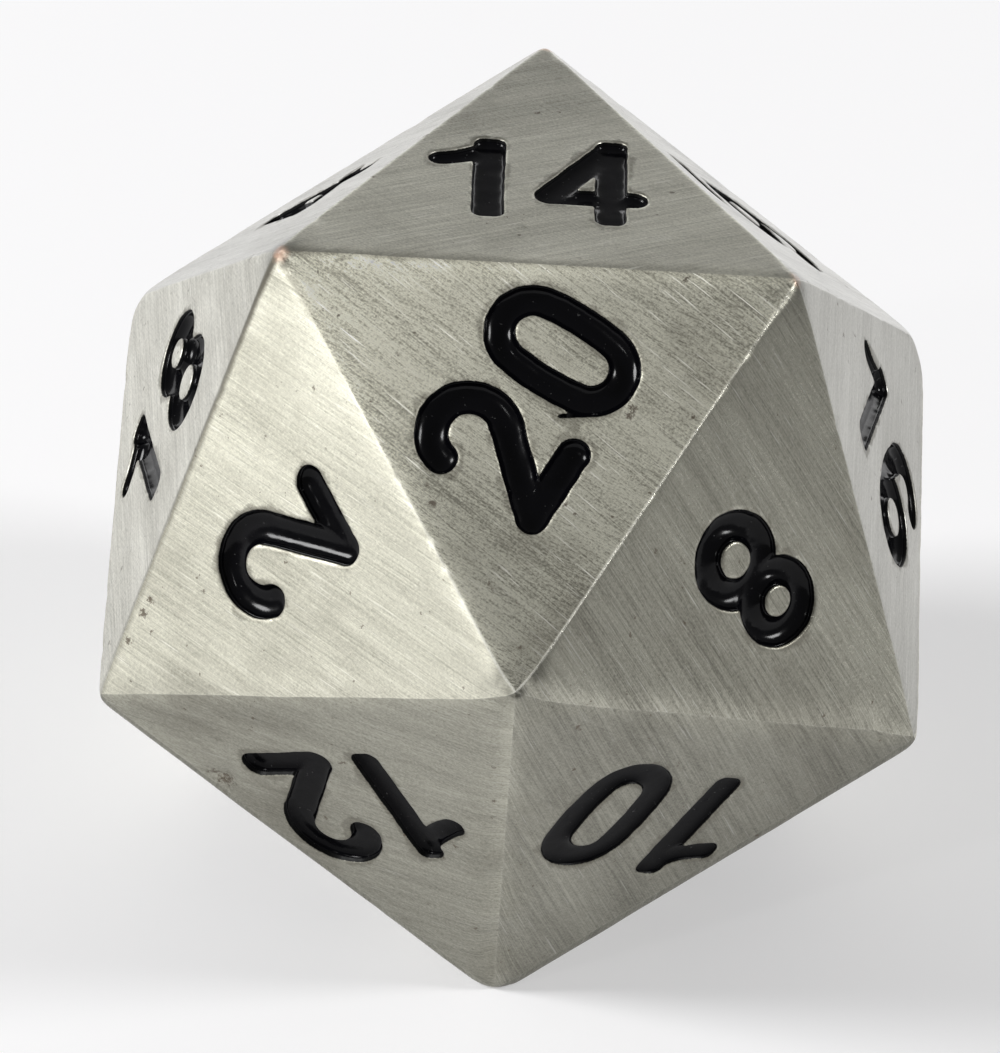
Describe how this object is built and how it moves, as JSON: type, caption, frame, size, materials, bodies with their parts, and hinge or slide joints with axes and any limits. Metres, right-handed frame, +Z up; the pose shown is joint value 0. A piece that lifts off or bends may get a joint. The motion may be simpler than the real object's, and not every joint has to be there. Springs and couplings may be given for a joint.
{
  "type": "twenty-sided die",
  "caption": "Cast metal polyhedral game die with flat triangular faces, worn edges and sunk numerals filled with gloss black enamel.",
  "frame": {"origin": "on the resting plane, under the middle of the die, which lies on its 7", "axes": "+Z up through the 14, -Y towards the side of the 20, which leans back above the front, +X to the right seen from there; the YZ plane halves the 14 and the 20"},
  "size_m": [0.0214, 0.0244, 0.02],
  "materials": {
    "die_metal": "zinc alloy plated in brushed antique nickel, darkened in the scratches and worn bright on the edges",
    "enamel_black": "thick gloss black enamel, hollow where it dried in the sunk numerals"
  },
  "bodies": {
    "root": {"die_body": "die_metal", "face_01_units_enamel": "enamel_black", "face_02_units_enamel": "enamel_black", "face_03_units_enamel": "enamel_black", "face_04_units_enamel": "enamel_black", "face_05_units_enamel": "enamel_black", "face_06_mark_enamel": "enamel_black", "face_06_units_enamel": "enamel_black", "face_07_units_enamel": "enamel_black", "face_08_units_enamel": "enamel_black", "face_09_mark_enamel": "enamel_black", "face_09_units_enamel": "enamel_black", "face_10_tens_enamel": "enamel_black", "face_10_units_enamel": "enamel_black", "face_11_tens_enamel": "enamel_black", "face_11_units_enamel": "enamel_black", "face_12_tens_enamel": "enamel_black", "face_12_units_enamel": "enamel_black", "face_13_tens_enamel": "enamel_black", "face_13_units_enamel": "enamel_black", "face_14_tens_enamel": "enamel_black", "face_14_units_enamel": "enamel_black", "face_15_tens_enamel": "enamel_black", "face_15_units_enamel": "enamel_black", "face_16_tens_enamel": "enamel_black", "face_16_units_enamel": "enamel_black", "face_17_tens_enamel": "enamel_black", "face_17_units_enamel": "enamel_black", "face_18_tens_enamel": "enamel_black", "face_18_units_enamel": "enamel_black", "face_19_tens_enamel": "enamel_black", "face_19_units_enamel": "enamel_black", "face_20_tens_enamel": "enamel_black", "face_20_units_enamel": "enamel_black"}
  },
  "joints": []
}
